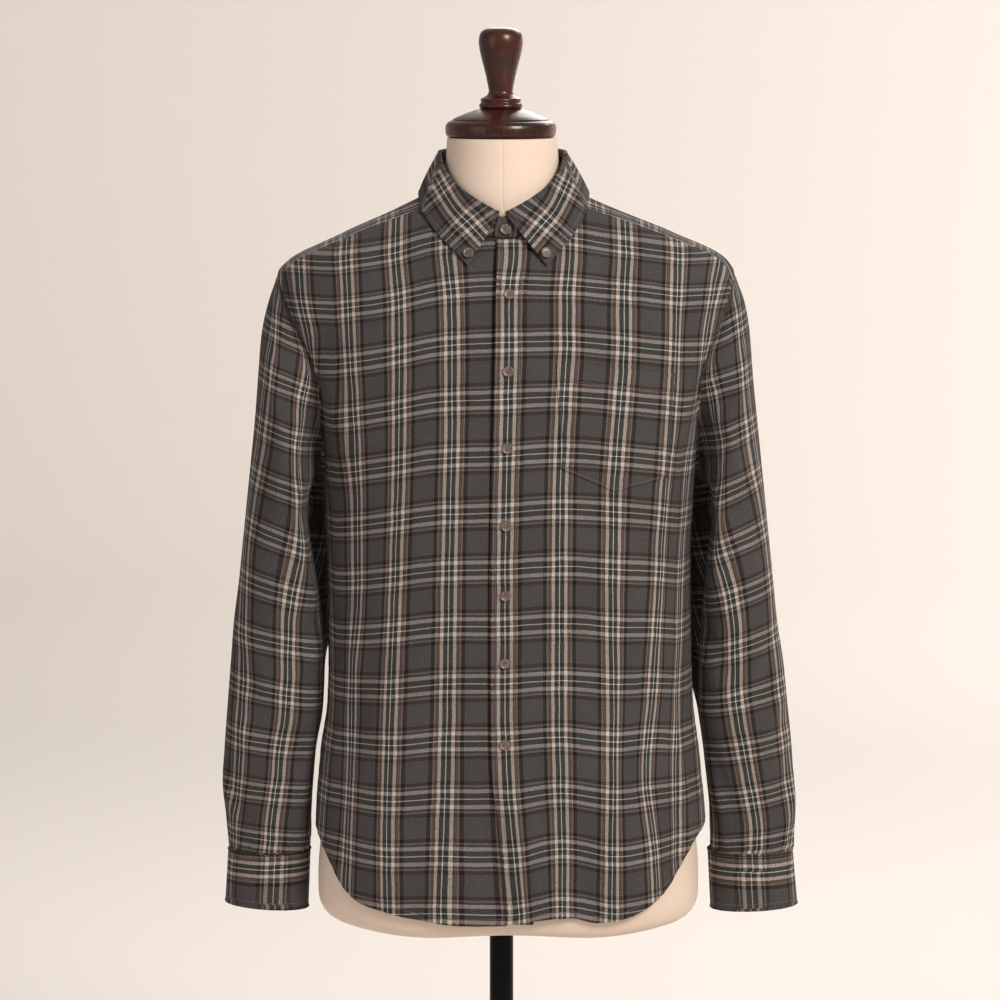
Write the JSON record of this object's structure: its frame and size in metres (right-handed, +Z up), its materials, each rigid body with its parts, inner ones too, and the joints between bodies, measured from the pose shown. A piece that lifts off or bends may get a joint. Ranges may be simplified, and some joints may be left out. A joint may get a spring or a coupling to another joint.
{
  "type": "flannel shirt on a dress form",
  "caption": "Long-sleeved checked flannel shirt with button-down collar, curved hem and pointed chest pocket, buttoned on a limbless dress form with turned wood neck cap, pole and round base.",
  "frame": {"origin": "centre of the underside of the round base, on the floor under the pole's axis", "axes": "+Z up; the shirt's front faces -Y; the wearer's right side is at -X"},
  "size_m": [0.6081, 0.34, 1.4687],
  "materials": {
    "checked_flannel": "brushed woven cotton flannel, yarn-dyed check",
    "horn_button": "satin, horn effect",
    "form_linen": "plain linen stretched over the form",
    "turned_wood": "dark stain and varnish",
    "black_steel": "black powder coat"
  },
  "bodies": {
    "root": {"front_right": "checked_flannel", "front_left": "checked_flannel", "placket": "checked_flannel", "pocket": "checked_flannel", "back": "checked_flannel", "yoke": "checked_flannel", "sleeve_right": "checked_flannel", "sleeve_left": "checked_flannel", "cuff_right": "checked_flannel", "cuff_left": "checked_flannel", "collar_stand": "checked_flannel", "collar_leaf": "checked_flannel", "button_stand": "horn_button", "button_1": "horn_button", "button_2": "horn_button", "button_3": "horn_button", "button_4": "horn_button", "button_5": "horn_button", "button_6": "horn_button", "button_7": "horn_button", "collar_button_right": "horn_button", "collar_button_left": "horn_button", "cuff_right_button": "horn_button", "cuff_left_button": "horn_button", "dress_form": "form_linen", "neck_cap": "turned_wood", "finial": "turned_wood", "pole": "black_steel", "stand_base": "black_steel"}
  },
  "joints": []
}
